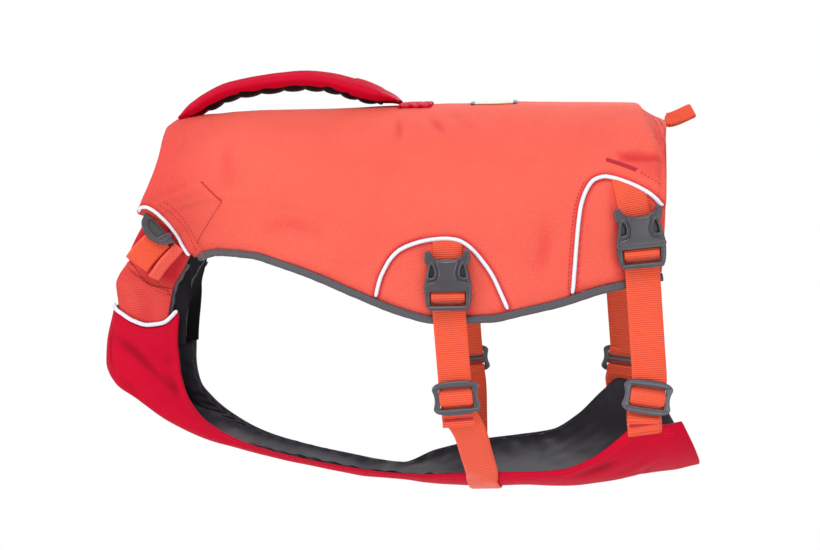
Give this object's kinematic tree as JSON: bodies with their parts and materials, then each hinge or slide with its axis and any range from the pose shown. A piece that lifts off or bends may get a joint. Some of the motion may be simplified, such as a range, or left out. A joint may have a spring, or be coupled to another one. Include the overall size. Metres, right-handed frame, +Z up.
{
  "type": "dog life jacket",
  "caption": "Padded back panel with a grab handle, joined at the neck and by buckled belly straps to a cloth sling under the chest and belly; hollow, in its worn form.",
  "frame": {"origin": "on the spine line at the inner face of the back panel, where the wearer's back holds the jacket up", "axes": "+X toward the tail, +Z up, +Y to the wearer's right side"},
  "size_m": [0.4996, 0.2086, 0.3452],
  "materials": {
    "orange_shell": "woven shell cloth over foam, matt with a soft sheen",
    "red_shell": "smooth woven shell cloth, soft sheen",
    "grey_lining": "smooth lining cloth and binding tape",
    "webbing": "ribbed webbing, matt",
    "plastic": "moulded, satin",
    "piping": "reflective piping, soft sheen",
    "label": "bare woven label"
  },
  "bodies": {
    "root": {"back_panel": "orange_shell", "hem_binding_left": "grey_lining", "hem_binding_right": "grey_lining", "piping_neck_left": "piping", "piping_neck_right": "piping", "piping_front_arch_left": "piping", "piping_front_arch_right": "piping", "piping_rear_arch_left": "piping", "piping_rear_arch_right": "piping", "piping_pocket_left": "piping", "piping_pocket_right": "piping", "sling_outer": "red_shell", "sling_lining": "grey_lining", "neck_tongue_left": "orange_shell", "neck_tongue_right": "orange_shell", "neck_tongue_lining_left": "grey_lining", "neck_tongue_lining_right": "grey_lining", "neck_flap_left": "orange_shell", "neck_flap_right": "orange_shell", "neck_binding_left": "grey_lining", "neck_binding_right": "grey_lining", "neck_web_left": "webbing", "neck_web_right": "webbing", "neck_roll_left": "orange_shell", "neck_roll_right": "orange_shell", "neck_lock_left": "plastic", "neck_lock_right": "plastic", "web_top_front_left": "webbing", "web_top_front_right": "webbing", "buckle_front_left": "plastic", "buckle_front_right": "plastic", "web_adjust_front_left": "webbing", "web_adjust_front_right": "webbing", "slider_front_left": "plastic", "slider_front_right": "plastic", "web_anchor_front_left": "webbing", "web_anchor_front_right": "webbing", "web_top_rear_left": "webbing", "web_top_rear_right": "webbing", "buckle_rear_left": "plastic", "buckle_rear_right": "plastic", "web_adjust_rear_left": "webbing", "web_adjust_rear_right": "webbing", "slider_rear_left": "plastic", "slider_rear_right": "plastic", "web_anchor_rear_left": "webbing", "web_anchor_rear_right": "webbing", "handle_cover": "red_shell", "handle_padding": "grey_lining", "handle_strip": "red_shell", "tail_loop": "webbing", "spine_label": "label"}
  },
  "joints": []
}
